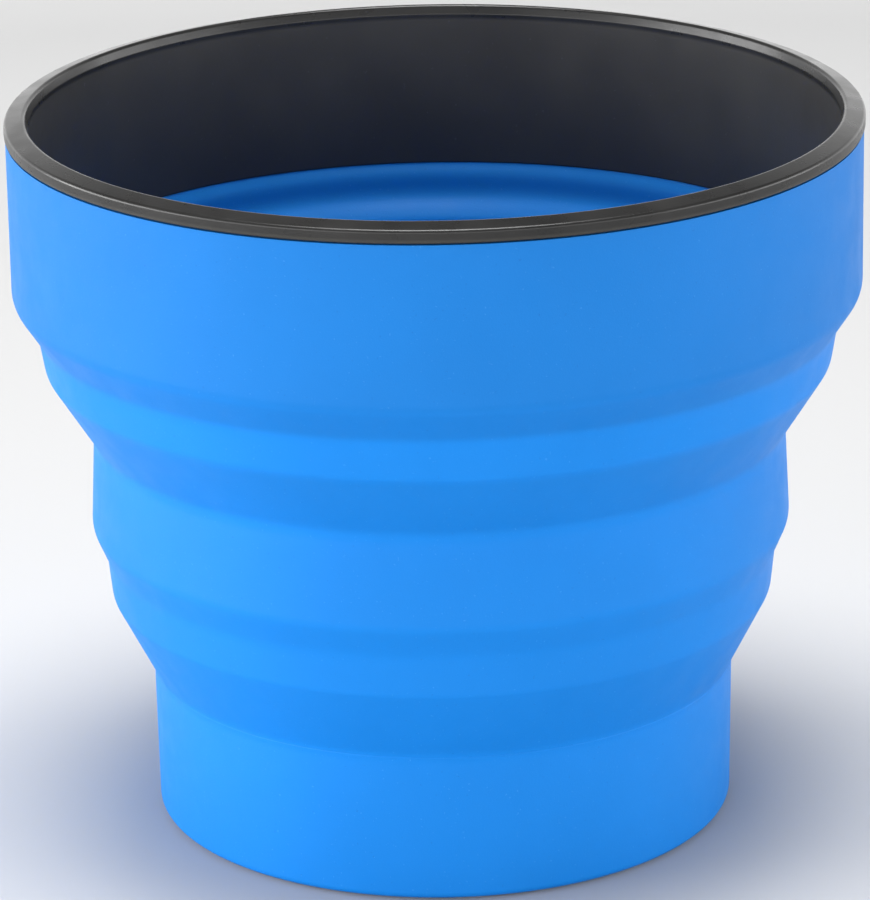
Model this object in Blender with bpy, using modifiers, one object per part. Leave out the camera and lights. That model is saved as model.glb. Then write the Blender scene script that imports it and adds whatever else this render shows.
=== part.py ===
"""Collapsible camping cup: one silicone moulding with four living hinges, on a rigid rim collar.

Units are metres, +Z is up, and the origin is the centre of the foot, on the table.
The silicone outline is one list of rounded corners. Stiff rings and thin webs are cut
from it by height, so each stiff ring can be a rigid body that slides inside the ring above.
"""

import math

import bmesh
import bpy

# Driving dimensions
TURN_STEPS = 48          # facets round the axis
ARC_STEP = math.radians(24.0)   # largest turn between two points of a rounded corner
GAP = 0.0003             # clearance kept between neighbouring solids
TINY = 0.00001           # heights closer than this count as the same

RIM_RADIUS = 0.0500      # outer radius of the rim bead
RIM_EDGE = 0.0850        # height where the bead's side turns into its top face
BEAD_CROWN = 0.0006      # the top face rises this much towards the inside
BEAD_CREST = 0.0476      # radius of the crest
BEAD_INNER = 0.0472      # inner radius of the bead, at the foot of its inner chamfer
BEAD_SIDE = 0.00135      # height of the bead's outer side
BEAD_CHAMFER = 0.0012    # height of the inner chamfer
BEAD_ROUND = 0.0004      # edge rounding of the bead
SKIRT_INNER = 0.0480     # inner radius of the collar skirt at its foot
SKIRT_WALL = 0.0008      # skirt thickness at its foot, thicker above because of the draft
SKIRT_FOOT = 0.0649      # height of the skirt's lower edge

BAND_WALL = 0.0010       # silicone thickness of the top and middle bands
RING_WALL = 0.0016       # thickness of the two narrow rings, which keep the cup round
WEB_WALL = 0.0007        # silicone thickness of the folding webs
BASE_WALL = 0.0015
FLOOR_THICKNESS = 0.0018
FLOOR_RECESS = 0.0008    # the floor stands this far above the table
FOOT_WIDTH = 0.0050      # radial width of the foot ring

# Outer silicone outline from the rim down to the foot: (radius, height, corner rounding)
CORNERS = [
    (0.04985, RIM_EDGE - BEAD_SIDE - GAP, 0.0),   # top edge, under the bead
    (0.04990, 0.0643, 0.0030),                    # shoulder of the top band
    (0.04710, 0.0600, 0.0),                       # foot of the upper ledge
    (0.04635, 0.0555, 0.0026),                    # shoulder above the upper fold
    (0.04095, 0.0469, 0.0),                       # foot of the upper fold
    (0.04150, 0.0358, 0.0031),                    # shoulder of the middle band
    (0.03990, 0.0320, 0.0),                       # foot of the lower ledge
    (0.03940, 0.0271, 0.0025),                    # shoulder above the lower fold
    (0.03470, 0.0178, 0.0),                       # foot of the lower fold
    (0.03450, 0.0000, 0.0008),                    # outer edge of the foot
    (0.03450 - FOOT_WIDTH, 0.0, 0.0),             # inner edge of the foot ring
]

# Stiff rings: name -> (top height, bottom height, wall), webs are what lies between them
RINGS = [
    ("upper_ring", 0.0602, 0.0548, RING_WALL),
    ("middle_band", 0.0471, 0.0349, BAND_WALL),
    ("lower_ring", 0.0322, 0.0265, RING_WALL),
]
TOP_BAND_FOOT = 0.0636
BASE_TOP = 0.0180
WEBS = [
    ("upper_ledge_web", TOP_BAND_FOOT, RINGS[0][1]),
    ("upper_fold_web", RINGS[0][2], RINGS[1][1]),
    ("lower_ledge_web", RINGS[1][2], RINGS[2][1]),
    ("lower_fold_web", RINGS[2][2], BASE_TOP),
]

SILICONE_BLUE = (0.024, 0.258, 0.820)
COLLAR_CHARCOAL = (0.034, 0.036, 0.042)


def clear_scene():
    for item in list(bpy.data.objects):
        bpy.data.objects.remove(item, do_unlink=True)


def make_collection(name):
    collection = bpy.data.collections.new(name)
    bpy.context.scene.collection.children.link(collection)
    return collection


def make_material(name, colour, roughness):
    material = bpy.data.materials.new(name)
    material.use_nodes = True
    shader = material.node_tree.nodes["Principled BSDF"]
    shader.inputs["Base Color"].default_value = (*colour, 1.0)
    shader.inputs["Roughness"].default_value = roughness
    shader.inputs["Metallic"].default_value = 0.0
    return material


def unit(vector):
    length = math.hypot(*vector)
    return (vector[0] / length, vector[1] / length)


def corner_arc(before, corner, after, rounding):
    """Points of the arc that rounds one corner of a profile."""
    inward = unit((before[0] - corner[0], before[1] - corner[1]))
    outward = unit((after[0] - corner[0], after[1] - corner[1]))
    half = 0.5 * math.acos(max(-1.0, min(1.0, inward[0] * outward[0] + inward[1] * outward[1])))
    reach = rounding / math.tan(half)
    middle = unit((inward[0] + outward[0], inward[1] + outward[1]))
    centre = (corner[0] + middle[0] * rounding / math.sin(half),
              corner[1] + middle[1] * rounding / math.sin(half))
    start = (corner[0] + inward[0] * reach, corner[1] + inward[1] * reach)
    first = math.atan2(start[1] - centre[1], start[0] - centre[0])
    cross = inward[0] * outward[1] - inward[1] * outward[0]
    sweep = math.copysign(math.pi - 2.0 * half, -cross)
    steps = max(1, math.ceil(abs(sweep) / ARC_STEP))
    return [(centre[0] + rounding * math.cos(first + sweep * i / steps),
             centre[1] + rounding * math.sin(first + sweep * i / steps)) for i in range(steps + 1)]


def rounded(corners):
    """Turn (radius, height, rounding) corners into a smooth polyline of (radius, height)."""
    points = []
    for index, (radius, height, rounding) in enumerate(corners):
        if rounding == 0.0:
            points.append((radius, height))
            continue
        before, after = corners[index - 1], corners[(index + 1) % len(corners)]
        points += corner_arc(before[:2], (radius, height), after[:2], rounding)
    return points


def cut_at(points, height):
    """Point where a descending outline crosses a height."""
    for (r0, z0), (r1, z1) in zip(points, points[1:]):
        if z0 >= height >= z1 and z0 > z1:
            share = (z0 - height) / (z0 - z1)
            return (r0 + share * (r1 - r0), height)
    raise ValueError(f"the outline does not reach {height}")


def stretch(points, top, bottom):
    """The part of a descending outline between two heights."""
    inside = [p for p in points if bottom + TINY < p[1] < top - TINY]
    return [cut_at(points, top)] + inside + [cut_at(points, bottom)]


def offset_inwards(points, distance):
    """The same line moved to its inner side, with mitred corners."""
    normals = []
    for (r0, z0), (r1, z1) in zip(points, points[1:]):
        along = unit((r1 - r0, z1 - z0))
        normals.append((along[1], -along[0]))
    moved = []
    for index, (radius, height) in enumerate(points):
        above = normals[max(index - 1, 0)]
        below = normals[min(index, len(normals) - 1)]
        middle = unit((above[0] + below[0], above[1] + below[1]))
        reach = distance / (middle[0] * above[0] + middle[1] * above[1])
        moved.append((radius + middle[0] * reach, height + middle[1] * reach))
    return moved


def turn(name, loop, material, collection):
    """Turn a closed (radius, height) loop, or one that ends on the axis, into a solid."""
    shape = bmesh.new()
    verts = [shape.verts.new((radius, 0.0, height)) for radius, height in loop]
    for a, b in zip(verts, verts[1:]):
        shape.edges.new((a, b))
    if loop[0][0] > 0.0:
        shape.edges.new((verts[-1], verts[0]))
    mesh = bpy.data.meshes.new(name)
    shape.to_mesh(mesh)
    shape.free()
    mesh.materials.append(material)
    piece = bpy.data.objects.new(name, mesh)
    collection.objects.link(piece)
    screw = piece.modifiers.new("Turn", "SCREW")
    screw.axis = "Z"
    screw.angle = math.tau
    screw.steps = TURN_STEPS
    screw.render_steps = TURN_STEPS
    screw.use_merge_vertices = True
    screw.merge_threshold = TINY
    screw.use_smooth_shade = True
    return piece


def ring_loop(outline, top, bottom, wall):
    outer = stretch(outline, top, bottom)
    return outer + offset_inwards(outer, wall)[::-1]


def build_collar(collection, plastic):
    """Rigid rim: a rounded bead with a thin skirt that the silicone is moulded round."""
    skirt_outer = SKIRT_INNER + SKIRT_WALL
    bead_foot = RIM_EDGE - BEAD_SIDE
    crown = RIM_EDGE + BEAD_CROWN
    loop = rounded([
        (BEAD_CREST, crown, BEAD_ROUND),
        (RIM_RADIUS, RIM_EDGE, BEAD_ROUND),
        (RIM_RADIUS, bead_foot, 0.0),
        (skirt_outer, bead_foot, 0.0),
        (skirt_outer, SKIRT_FOOT, 0.0),
        (SKIRT_INNER, SKIRT_FOOT, 0.0),
        (BEAD_INNER, crown - BEAD_CHAMFER, 0.0),
    ])
    return turn("rim_collar", loop, plastic, collection)


def build_top_band(collection, outline, silicone):
    """Silicone round the skirt, thicker below it so that the inside is nearly flush."""
    outer = stretch(outline, CORNERS[0][1], TOP_BAND_FOOT)
    behind_skirt = SKIRT_INNER + SKIRT_WALL + GAP
    under_skirt = SKIRT_FOOT - GAP
    inner_foot = offset_inwards(outer, BAND_WALL)[-1]
    inner = [inner_foot, (SKIRT_INNER + GAP, under_skirt), (behind_skirt, under_skirt),
             (behind_skirt, CORNERS[0][1])]
    return turn("top_band", outer + inner, silicone, collection)


def build_base(collection, outline, silicone):
    """The bottom wall with its foot ring, and the floor that it carries."""
    top_outer = cut_at(outline, BASE_TOP)
    outer = [top_outer] + [p for p in outline if p[1] < BASE_TOP - TINY]
    foot_edge = CORNERS[-1][0]
    wall_inner = CORNERS[-2][0] - BASE_WALL
    inner = [(foot_edge, FLOOR_RECESS), (wall_inner, FLOOR_RECESS), offset_inwards(outer, BASE_WALL)[0]]
    turn("base_wall", outer + inner, silicone, collection)

    floor_edge = wall_inner - GAP
    floor_foot = FLOOR_RECESS + GAP
    floor_top = floor_foot + FLOOR_THICKNESS
    floor_loop = [(0.0, floor_top), (floor_edge, floor_top), (floor_edge, floor_foot), (0.0, floor_foot)]
    turn("base_floor", floor_loop, silicone, collection)


def build_cup():
    clear_scene()
    collection = make_collection("collapsible_cup")
    silicone = make_material("blue_silicone", SILICONE_BLUE, 0.50)
    plastic = make_material("charcoal_plastic", COLLAR_CHARCOAL, 0.38)
    outline = rounded(CORNERS)
    build_collar(collection, plastic)
    build_top_band(collection, outline, silicone)
    for name, top, bottom, wall in RINGS:
        turn(name, ring_loop(outline, top, bottom, wall), silicone, collection)
    for name, top, bottom in WEBS:
        turn(name, ring_loop(outline, top - GAP, bottom + GAP, WEB_WALL), silicone, collection)
    build_base(collection, outline, silicone)


build_cup()
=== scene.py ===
"""Looks of the collapsible cup: blue silicone that folds on living hinges, in a charcoal rim collar."""

import math

import bmesh
import bpy
from mathutils import Matrix, Vector, noise


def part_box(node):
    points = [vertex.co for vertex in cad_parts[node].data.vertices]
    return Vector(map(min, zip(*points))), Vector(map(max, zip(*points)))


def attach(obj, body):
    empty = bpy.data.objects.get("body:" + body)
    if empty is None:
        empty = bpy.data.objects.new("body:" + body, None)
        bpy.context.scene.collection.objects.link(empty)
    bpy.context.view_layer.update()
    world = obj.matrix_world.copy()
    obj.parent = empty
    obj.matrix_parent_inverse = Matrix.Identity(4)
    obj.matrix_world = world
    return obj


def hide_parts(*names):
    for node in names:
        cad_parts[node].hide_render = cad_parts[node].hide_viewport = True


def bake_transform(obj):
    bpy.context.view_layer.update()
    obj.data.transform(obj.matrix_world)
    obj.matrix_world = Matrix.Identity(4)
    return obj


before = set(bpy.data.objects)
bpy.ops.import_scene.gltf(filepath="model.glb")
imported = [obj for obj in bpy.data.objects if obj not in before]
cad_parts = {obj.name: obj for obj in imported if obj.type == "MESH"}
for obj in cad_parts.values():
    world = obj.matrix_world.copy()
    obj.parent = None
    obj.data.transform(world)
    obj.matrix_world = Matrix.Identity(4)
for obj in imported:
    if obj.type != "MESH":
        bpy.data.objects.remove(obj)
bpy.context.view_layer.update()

# Camera, in the CAD frame
CAMERA_PLACE = (0.0, -0.5745, 0.2407)
CAMERA_PITCH = 0.3314            # looking down, radians
CAMERA_YAW = 0.0010
CAMERA_ROLL = -0.0164
CAMERA_LENS = 204.3              # millimetres on a 36 mm sensor

# Studio light: brightness of the walls, ceiling and backdrop
WALL_LIGHT, CEILING_LIGHT, BACKDROP_LIGHT = 1.10, 0.08, 0.65
# Where one fades into the next, as components of the direction: upwards (Z) or to the back (Y)
WALL_TOP, CEILING = 0.12, 0.60
BACKDROP_LOW, BACKDROP_HIGH = 0.10, 0.65
BACKDROP_SIDE, BACKDROP_MIDDLE = 0.35, 0.80
LIT_PLACE = (0.0, 0.0, 0.05)     # the softboxes face this place
# Softboxes: (name, place, width and height, watts)
SOFTBOXES = [
    ("left_softbox", (-0.92, 0.0, 0.20), (0.9, 0.4), 9.8),
    ("front_left_softbox", (-0.62, -0.62, 0.16), (0.7, 0.4), 3.0),
    ("right_softbox", (0.92, 0.0, 0.20), (0.9, 0.4), 4.4),
    ("front_right_softbox", (0.62, -0.62, 0.16), (0.7, 0.4), 1.5),
    ("front_softbox", (0.0, -1.10, 0.14), (1.0, 0.3), 2.7),
    ("top_softbox", (0.0, 0.0, 0.80), (0.40, 0.40), 7.6),
]

# Studio floor, which fades into the white of the walls towards its edge
FLOOR_RADIUS = 0.85
FLOOR_FADE = 0.38                # distance from the cup where the fade begins
FLOOR_PLACE = -0.0002            # a little below the foot

# Fineness of the turned meshes
SEGMENTS = 240                   # faces round the axis
ARC_STEP = math.radians(2.5)     # largest turn between two points of a rounded corner
SKIN_ROW = 0.0004                # longest face down the skin, the base and the collar
BASE_ROW = 0.0012
COLLAR_ROW = 0.0016
ON_AXIS = 1e-7                   # a smaller radius counts as the axis

# Silicone outline, in metres: (radius, height, corner rounding), from the rim down to the foot
CORNERS = [
    (0.04985, 0.08335, 0.0),
    (0.04990, 0.0643, 0.0030),
    (0.04710, 0.0600, 0.0055),
    (0.04635, 0.0555, 0.0026),
    (0.04095, 0.0469, 0.0035),
    (0.04150, 0.0358, 0.0031),
    (0.03990, 0.0320, 0.0060),
    (0.03940, 0.0271, 0.0025),
    (0.03470, 0.0178, 0.0045),
    (0.03450, 0.0000, 0.0009),
]

# Rim collar: a bead on a thin skirt
RIM_EDGE = 0.0850                # where the bead's side turns into its top face
BEAD_FOOT = 0.08365
BEAD_CREST = 0.0476              # radius of the highest line
BEAD_INNER = 0.0472
BEAD_CHAMFER = 0.0012
CREST_RAISE = 0.00008            # makes up for what the rounding takes off the crest
LIP_WIDTH = 0.00035              # the bead's lower edge, which laps over the silicone
LIP_DROP = 0.00020
SKIRT_INNER = 0.0480
SKIRT_OUTER = 0.0489
SKIRT_FOOT = 0.0649
POLISH_FADE = 0.0004             # height over which the bead's polish begins

# Floor and foot ring of the base
FLOOR_TOP = 0.0029
FLOOR_RECESS = 0.0008
FLOOR_CORNER = 0.0022            # rounding where the floor meets the wall
FOOT_INNER = 0.0295
FOOT_SLOPE = 0.0006              # width of the slope inside the foot ring
FOOT_JOIN = 0.002                # height where the outline passes into the foot ring
BASE_OVERLAP = 0.0005            # the base reaches this far up inside the lower fold

BASE_WALL = 0.0015
BAND_WALL = 0.0011
RIDGE_WALL = 0.0010              # the shoulder of a narrow ring
WEB_WALL = 0.0007
THICKEST = 0.0019                # the crest inside a narrow ring
# Silicone thickness down the outline: (height, thickness)
WALL = [
    (0.0649, 0.0009), (0.0646, 0.0018), (0.0630, 0.0018),             # behind and under the skirt
    (0.0606, 0.00075), (0.0578, THICKEST), (0.0558, RIDGE_WALL),      # ledge foot, upper ring
    (0.0545, WEB_WALL), (0.0477, WEB_WALL),                           # upper fold
    (0.0462, BAND_WALL), (0.0415, BAND_WALL), (0.0400, WEB_WALL),     # middle band
    (0.0325, WEB_WALL), (0.0305, THICKEST), (0.0280, RIDGE_WALL),     # lower ledge and ring
    (0.0262, WEB_WALL), (0.0186, WEB_WALL), (0.0172, BAND_WALL),      # lower fold
]
# Painted shade down the outline: (height, shade). The colour is darkened over the dark skirt and in the
# thin webs, to stand in for the shade that the translucent silicone shows there.
PAINTED_SHADE = [
    (0.0649, 1.00), (0.0640, 0.85), (0.0609, 0.85), (0.0598, 0.10),   # top band, upper ledge
    (0.0556, 0.10), (0.0542, 0.60), (0.0480, 0.60),                   # upper ring, upper fold
    (0.0466, 0.15), (0.0362, 0.15), (0.0348, 0.32), (0.0328, 0.32),   # middle band, lower ledge
    (0.0316, 0.20), (0.0275, 0.20), (0.0262, 0.28),                   # lower ring
    (0.0188, 0.28), (0.0175, 0.00),                                   # lower fold
]
FULL_SHADE_BRIGHTNESS = 0.81              # brightness of the colour at full painted shade
WAVER = 0.00005                  # unevenness of the moulded skin
WAVER_SCALE = 28.0               # its waves per metre


# ---------------------------------------------------------------- outlines

def unit(x, y):
    length = math.hypot(x, y)
    return x / length, y / length


def arc(before, corner, after, rounding):
    """Points that round one corner of an outline."""
    ux, uy = unit(before[0] - corner[0], before[1] - corner[1])
    vx, vy = unit(after[0] - corner[0], after[1] - corner[1])
    half = 0.5 * math.acos(max(-1.0, min(1.0, ux * vx + uy * vy)))
    mx, my = unit(ux + vx, uy + vy)
    centre_x = corner[0] + mx * rounding / math.sin(half)
    centre_y = corner[1] + my * rounding / math.sin(half)
    reach = rounding / math.tan(half)
    first = math.atan2(corner[1] + uy * reach - centre_y, corner[0] + ux * reach - centre_x)
    sweep = math.copysign(math.pi - 2.0 * half, uy * vx - ux * vy)
    steps = max(2, math.ceil(abs(sweep) / ARC_STEP))
    angles = [first + sweep * i / steps for i in range(steps + 1)]
    return [(centre_x + rounding * math.cos(a), centre_y + rounding * math.sin(a)) for a in angles]


def rounded(corners, closed=False):
    """(radius, height, rounding) corners as a smooth line of (radius, height)."""
    points = []
    for index, (radius, height, rounding) in enumerate(corners):
        is_end = index in (0, len(corners) - 1) and not closed
        if rounding == 0.0 or is_end:
            points.append((radius, height))
            continue
        before = corners[index - 1]
        after = corners[(index + 1) % len(corners)]
        points += arc(before, (radius, height), after, rounding)
    return points


def refined(points, step):
    """The same line with no stretch longer than step."""
    fine = [points[0]]
    for (r0, z0), (r1, z1) in zip(points, points[1:]):
        parts = max(1, math.ceil(math.hypot(r1 - r0, z1 - z0) / step))
        fine += [(r0 + (r1 - r0) * i / parts, z0 + (z1 - z0) * i / parts) for i in range(1, parts + 1)]
    return fine


def between(points, top, bottom):
    """The part of a descending line between two heights."""
    part = []
    for (r0, z0), (r1, z1) in zip(points, points[1:]):
        for height in (top, bottom):
            if z0 > height >= z1:
                share = (z0 - height) / (z0 - z1)
                part.append((r0 + (r1 - r0) * share, height))
        if bottom < z1 < top:
            part.append((r1, z1))
    if points[0][1] <= top:
        part.insert(0, points[0])
    return part


# ---------------------------------------------------------------- turned meshes

def waver(radius, angle, height):
    """Slight unevenness of the skin, the same in every piece that passes through one place."""
    spot = Vector((radius * math.cos(angle), radius * math.sin(angle), height)) * WAVER_SCALE
    return WAVER * noise.noise(spot)


def turned(name, line, closed, uneven=0.0):
    """A line of (radius, height) turned about Z. A closed line makes a ring, an open one a skin."""
    mesh = bpy.data.meshes.new(name)
    shape = bmesh.new()
    rings = []
    for radius, height in line:
        if radius < ON_AXIS:
            rings.append([shape.verts.new((0.0, 0.0, height))])
            continue
        ring = []
        for step in range(SEGMENTS):
            angle = math.tau * step / SEGMENTS
            r = radius + uneven * waver(radius, angle, height)
            ring.append(shape.verts.new((r * math.cos(angle), r * math.sin(angle), height)))
        rings.append(ring)
    pairs = list(zip(rings, rings[1:]))
    if closed:
        pairs.append((rings[-1], rings[0]))
    for upper, lower in pairs:
        join_rings(shape, upper, lower)
    for edge in shape.edges:
        edge.smooth = not edge.is_boundary
    for face in shape.faces:
        face.smooth = True
    shape.to_mesh(mesh)
    shape.free()
    piece = bpy.data.objects.new(name, mesh)
    bpy.context.scene.collection.objects.link(piece)
    return piece


def join_rings(shape, upper, lower):
    """Faces between two rings, or between a ring and a point on the axis, facing outwards."""
    for step in range(SEGMENTS):
        following = (step + 1) % SEGMENTS
        if len(upper) == 1 and len(lower) == 1:
            return
        if len(upper) == 1:
            shape.faces.new((upper[0], lower[step], lower[following]))
        elif len(lower) == 1:
            shape.faces.new((upper[following], upper[step], lower[0]))
        else:
            shape.faces.new((upper[following], upper[step], lower[step], lower[following]))


# ---------------------------------------------------------------- silicone pieces

def smooth_share(value, start, end):
    share = max(0.0, min(1.0, (value - start) / (end - start)))
    return share * share * (3.0 - 2.0 * share)


def at_height(profile, height):
    """The value at a height, changing smoothly between the heights of a profile."""
    if height >= profile[0][0]:
        return profile[0][1]
    for (top, above), (foot, below) in zip(profile, profile[1:]):
        if height >= foot:
            return above + (below - above) * smooth_share(height, top, foot)
    return profile[-1][1]


def silicone_skin(name, outline, top, bottom, nodes):
    """One stiff ring and the web under it: the outer skin, thickened inwards by a modifier."""
    line = refined(between(outline, top, bottom), SKIN_ROW)
    skin = turned(name, line, closed=False, uneven=1.0)
    wall = skin.vertex_groups.new(name="wall")
    for vertex in skin.data.vertices:
        wall.add([vertex.index], at_height(WALL, vertex.co.z) / THICKEST, "REPLACE")
    solid = skin.modifiers.new("Wall", "SOLIDIFY")
    solid.thickness = THICKEST
    solid.offset = -1.0
    solid.vertex_group = wall.name
    solid.use_rim = True
    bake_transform(skin)
    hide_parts(*nodes)
    # Painted shade: how far the colour darkens at each point, by height.
    painted_shade = skin.data.attributes.new("painted_shade", "FLOAT", "POINT")
    for vertex, value in zip(skin.data.vertices, painted_shade.data):
        value.value = at_height(PAINTED_SHADE, vertex.co.z)
    return skin


def silicone_base(outline):
    """The bottom wall, the foot ring and the floor, in one."""
    base_radius, base_top = CORNERS[8][:2]
    foot_radius, _, foot_rounding = CORNERS[9]
    outer = between(outline, base_top, FOOT_JOIN)
    under = [
        (foot_radius, 0.0, foot_rounding), (FOOT_INNER, 0.0, 0.0003),
        (FOOT_INNER - FOOT_SLOPE, FLOOR_RECESS, 0.0004), (0.0, FLOOR_RECESS, 0.0),
    ]
    inside = [
        (0.0, FLOOR_TOP, 0.0), (foot_radius - BASE_WALL, FLOOR_TOP, FLOOR_CORNER),
        (base_radius - BAND_WALL, base_top + BASE_OVERLAP, 0.0),
    ]
    start = (outer[-1][0], outer[-1][1], 0.0)
    line = outer[:-1] + rounded([start] + under) + rounded(inside)
    base = turned("silicone_base", refined(line, BASE_ROW), closed=True)
    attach(base, "base")
    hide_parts("base_wall", "base_floor")
    return base


def build_silicone(material):
    outline = rounded(CORNERS)
    rim_edge = CORNERS[0][1]
    ledge_foot, fold_foot = CORNERS[2][1], CORNERS[4][1]
    lower_ledge_foot, base_top = CORNERS[6][1], CORNERS[8][1]
    skins = [
        silicone_skin("silicone_top_band", outline, rim_edge, ledge_foot,
                      ("top_band", "upper_ledge_web")),
        silicone_skin("silicone_upper_ring", outline, ledge_foot, fold_foot,
                      ("upper_ring", "upper_fold_web")),
        silicone_skin("silicone_middle_band", outline, fold_foot, lower_ledge_foot,
                      ("middle_band", "lower_ledge_web")),
        silicone_skin("silicone_lower_ring", outline, lower_ledge_foot, base_top,
                      ("lower_ring", "lower_fold_web")),
        silicone_base(outline),
    ]
    for skin in skins:
        skin.data.materials.append(material)


# ---------------------------------------------------------------- rim collar

def build_collar(material):
    """The rounded rim bead and its deep skirt."""
    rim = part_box("rim_collar")[1].x
    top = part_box("rim_collar")[1].z + CREST_RAISE
    lip = BEAD_FOOT - LIP_DROP
    loop = [
        (BEAD_CREST, top, 0.00045),
        (rim, RIM_EDGE, 0.00042),
        (rim, BEAD_FOOT, 0.00025),
        (rim - LIP_WIDTH, lip, 0.00010),
        (SKIRT_OUTER, lip, 0.0),
        (SKIRT_OUTER, SKIRT_FOOT, 0.00015),
        (SKIRT_INNER, SKIRT_FOOT, 0.00030),
        (BEAD_INNER, top - BEAD_CHAMFER, 0.00060),
    ]
    line = rounded(loop, closed=True)
    collar = turned("rim_collar_fine", refined(line + [line[0]], COLLAR_ROW)[:-1], closed=True)
    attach(collar, "collar")
    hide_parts("rim_collar")
    collar.data.materials.append(material)


# ---------------------------------------------------------------- materials

class Nodes:
    """A short way to add and link shader nodes."""

    def __init__(self, name):
        self.material = bpy.data.materials.new(name)
        self.material.use_nodes = True
        self.tree = self.material.node_tree
        self.shader = self.tree.nodes["Principled BSDF"]

    def add(self, kind, inputs=None, **settings):
        node = self.tree.nodes.new(kind)
        for key, value in settings.items():
            setattr(node, key, value)
        for key, value in (inputs or {}).items():
            if isinstance(value, bpy.types.NodeSocket):
                self.tree.links.new(value, node.inputs[key])
            else:
                node.inputs[key].default_value = value
        return node

    def place(self):
        return self.add("ShaderNodeTexCoord").outputs["Object"]

    def noise(self, scale, detail=2.0, roughness=0.5):
        inputs = {"Vector": self.place(), "Scale": scale, "Detail": detail, "Roughness": roughness}
        return self.add("ShaderNodeTexNoise", inputs).outputs["Fac"]

    def span(self, value, low, high, to_low, to_high):
        """A value carried from one span of numbers to another, held at its ends."""
        inputs = {"Value": value, "From Min": low, "From Max": high, "To Min": to_low, "To Max": to_high}
        return self.add("ShaderNodeMapRange", inputs).outputs["Result"]

    def mix(self, factor, first, second):
        node = self.add("ShaderNodeMix", data_type="RGBA")
        sockets = (node.inputs[0], node.inputs[6], node.inputs[7])
        for socket, value in zip(sockets, (factor, first, second)):
            if isinstance(value, bpy.types.NodeSocket):
                self.tree.links.new(value, socket)
            else:
                socket.default_value = value
        return node.outputs[2]

    def bump(self, height, distance, strength, normal=None):
        inputs = {"Height": height, "Distance": distance, "Strength": strength}
        if normal is not None:
            inputs["Normal"] = normal
        return self.add("ShaderNodeBump", inputs).outputs["Normal"]

    def link(self, value, name):
        self.tree.links.new(value, self.shader.inputs[name])


def silicone_material():
    """Satin silicone: cloudy colour, fine grain, specks of pale dust and of dark grit, and painted shade
    down the outline.
    """
    nodes = Nodes("blue_silicone")
    cloud = nodes.span(nodes.noise(55.0, detail=4.0), 0.3, 0.7, 0.0, 1.0)
    colour = nodes.mix(cloud, (0.0028, 0.186, 0.608, 1.0), (0.0038, 0.198, 0.643, 1.0))
    dust = nodes.span(nodes.noise(3200.0, detail=1.0), 0.72, 0.80, 0.0, 0.16)
    colour = nodes.mix(dust, colour, (0.20, 0.50, 0.95, 1.0))
    grit = nodes.span(nodes.noise(2700.0, detail=1.0), 0.27, 0.20, 0.0, 0.30)
    colour = nodes.mix(grit, colour, (0.004, 0.10, 0.40, 1.0))
    # Painted shade: the colour darkens where the skin carries painted shade.
    painted_shade = nodes.add("ShaderNodeAttribute", attribute_name="painted_shade").outputs["Fac"]
    colour = nodes.mix(painted_shade, colour, nodes.mix(FULL_SHADE_BRIGHTNESS, (0.0, 0.0, 0.0, 1.0), colour))
    nodes.link(colour, "Base Color")
    nodes.link(nodes.span(nodes.noise(240.0, detail=3.0), 0.3, 0.7, 0.46, 0.58), "Roughness")
    grain = nodes.bump(nodes.noise(5200.0, detail=2.0), 0.00003, 0.35)
    nodes.link(nodes.bump(nodes.noise(420.0, detail=2.0), 0.00005, 0.25, grain), "Normal")
    nodes.shader.inputs["IOR"].default_value = 1.36
    nodes.shader.inputs["Specular IOR Level"].default_value = 0.34
    return nodes.material


def collar_material():
    """Satin moulded plastic: cloudy colour, pale flecks and a fine grain, with a polished bead."""
    nodes = Nodes("charcoal_plastic")
    cloud = nodes.span(nodes.noise(70.0, detail=3.0), 0.3, 0.7, 0.0, 1.0)
    colour = nodes.mix(cloud, (0.032, 0.030, 0.026, 1.0), (0.041, 0.039, 0.034, 1.0))
    fleck = nodes.span(nodes.noise(1700.0, detail=2.0), 0.70, 0.80, 0.0, 0.4)
    colour = nodes.mix(fleck, colour, (0.10, 0.10, 0.11, 1.0))
    height = nodes.add("ShaderNodeSeparateXYZ", {0: nodes.place()}).outputs["Z"]
    bead = nodes.span(height, BEAD_FOOT, BEAD_FOOT + POLISH_FADE, 0.0, 1.0)
    polish = nodes.mix(cloud, (0.011, 0.011, 0.011, 1.0), (0.018, 0.0175, 0.017, 1.0))
    colour = nodes.mix(bead, colour, polish)
    nodes.link(colour, "Base Color")
    rough = nodes.span(nodes.noise(160.0, detail=4.0), 0.3, 0.7, 0.34, 0.46)
    polished = nodes.span(nodes.noise(260.0, detail=4.0), 0.3, 0.7, 0.25, 0.34)
    nodes.link(nodes.span(bead, 0.0, 1.0, rough, polished), "Roughness")
    nodes.link(nodes.bump(nodes.noise(3600.0, detail=2.0), 0.00003, 0.30), "Normal")
    nodes.shader.inputs["IOR"].default_value = 1.40
    return nodes.material


def floor_material():
    """Plain pale floor, which turns clear towards its edge."""
    nodes = Nodes("pale_floor")
    nodes.link(nodes.span(nodes.noise(9.0), 0.3, 0.7, 0.78, 0.86), "Roughness")
    distance = nodes.add("ShaderNodeVectorMath", {0: nodes.place()}, operation="LENGTH").outputs["Value"]
    nodes.link(nodes.span(distance, FLOOR_FADE, FLOOR_RADIUS, 1.0, 0.0), "Alpha")
    nodes.shader.inputs["Base Color"].default_value = (0.54, 0.54, 0.54, 1.0)
    return nodes.material


# ---------------------------------------------------------------- studio

def build_studio():
    floor = turned("studio_floor", [(0.0, FLOOR_PLACE), (FLOOR_RADIUS, FLOOR_PLACE)], closed=False)
    floor.data.flip_normals()
    floor.data.materials.append(floor_material())

    build_world()
    for name, place, size, power in SOFTBOXES:
        softbox(name, place, size, power)


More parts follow.
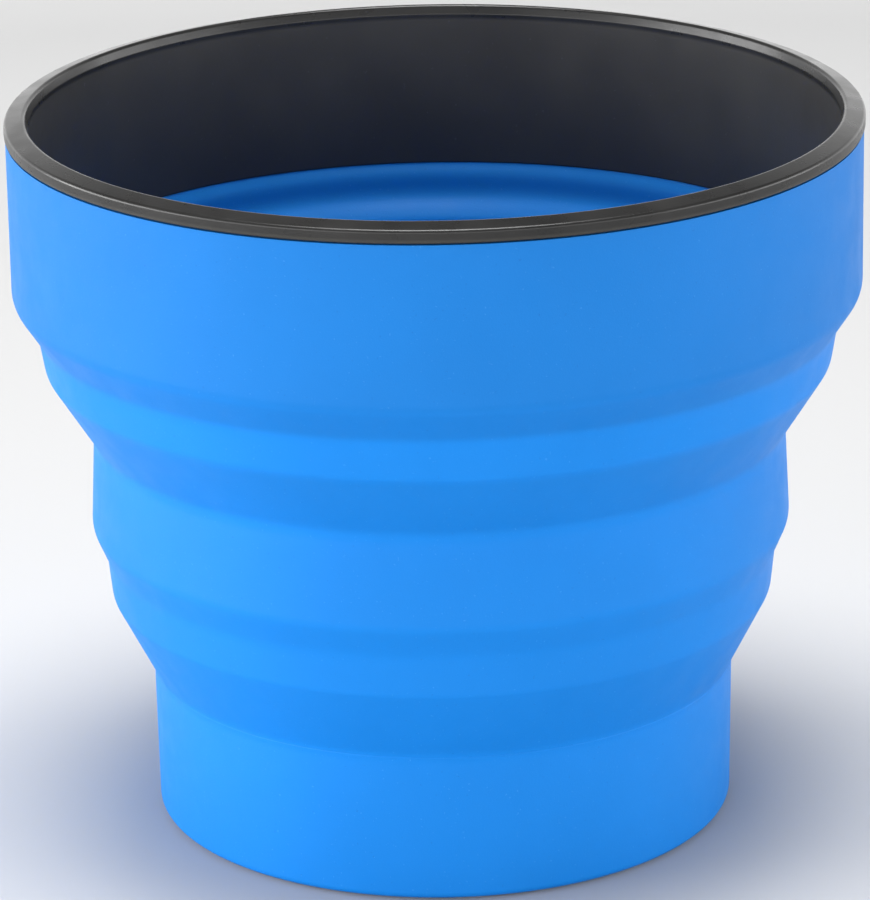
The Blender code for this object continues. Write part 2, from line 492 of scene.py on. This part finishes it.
def build_world():
    """White studio walls and a brighter backdrop, with a dim ceiling."""
    world = bpy.data.worlds.new("studio_world")
    world.use_nodes = True
    bpy.context.scene.world = world
    tree = world.node_tree
    split = tree.nodes.new("ShaderNodeSeparateXYZ")
    tree.links.new(tree.nodes.new("ShaderNodeTexCoord").outputs["Generated"], split.inputs[0])

    def fade(axis, start, end, first, last):
        node = tree.nodes.new("ShaderNodeMapRange")
        node.interpolation_type = "SMOOTHSTEP"
        for name, value in (("From Min", start), ("From Max", end), ("To Min", first), ("To Max", last)):
            node.inputs[name].default_value = value
        tree.links.new(split.outputs[axis], node.inputs["Value"])
        return node.outputs["Result"]

    def combine(operation, first, second):
        node = tree.nodes.new("ShaderNodeMath")
        node.operation = operation
        tree.links.new(first, node.inputs[0])
        tree.links.new(second, node.inputs[1])
        return node.outputs[0]

    walls = fade("Z", WALL_TOP, CEILING, WALL_LIGHT, CEILING_LIGHT)
    height = fade("Z", BACKDROP_LOW, BACKDROP_HIGH, BACKDROP_LIGHT, 0.0)
    backdrop = combine("MULTIPLY", height, fade("Y", BACKDROP_SIDE, BACKDROP_MIDDLE, 0.0, 1.0))
    background = tree.nodes["Background"]
    background.inputs["Color"].default_value = (1.0, 1.0, 1.0, 1.0)
    tree.links.new(combine("ADD", walls, backdrop), background.inputs["Strength"])


def softbox(name, place, size, power):
    """A rectangular light that faces the cup and doesn't show in the picture."""
    light = bpy.data.lights.new(name, "AREA")
    light.shape = "RECTANGLE"
    light.size, light.size_y = size
    light.energy = power
    lamp = bpy.data.objects.new(name, light)
    lamp.location = place
    lamp.visible_camera = False
    lamp.rotation_euler = (Vector(place) - Vector(LIT_PLACE)).to_track_quat("Z", "Y").to_euler()
    bpy.context.scene.collection.objects.link(lamp)


def build_camera():
    data = bpy.data.cameras.new("camera")
    data.lens = CAMERA_LENS
    data.clip_end = 50.0
    camera = bpy.data.objects.new("camera", data)
    turn = (Matrix.Rotation(CAMERA_YAW, 3, "Z") @ Matrix.Rotation(math.pi / 2 - CAMERA_PITCH, 3, "X")
            @ Matrix.Rotation(CAMERA_ROLL, 3, "Z"))
    camera.matrix_world = Matrix.Translation(CAMERA_PLACE) @ turn.to_4x4()
    bpy.context.scene.collection.objects.link(camera)
    bpy.context.scene.camera = camera


bpy.context.scene.view_settings.view_transform = "Standard"
build_camera()
build_studio()
build_silicone(silicone_material())
build_collar(collar_material())
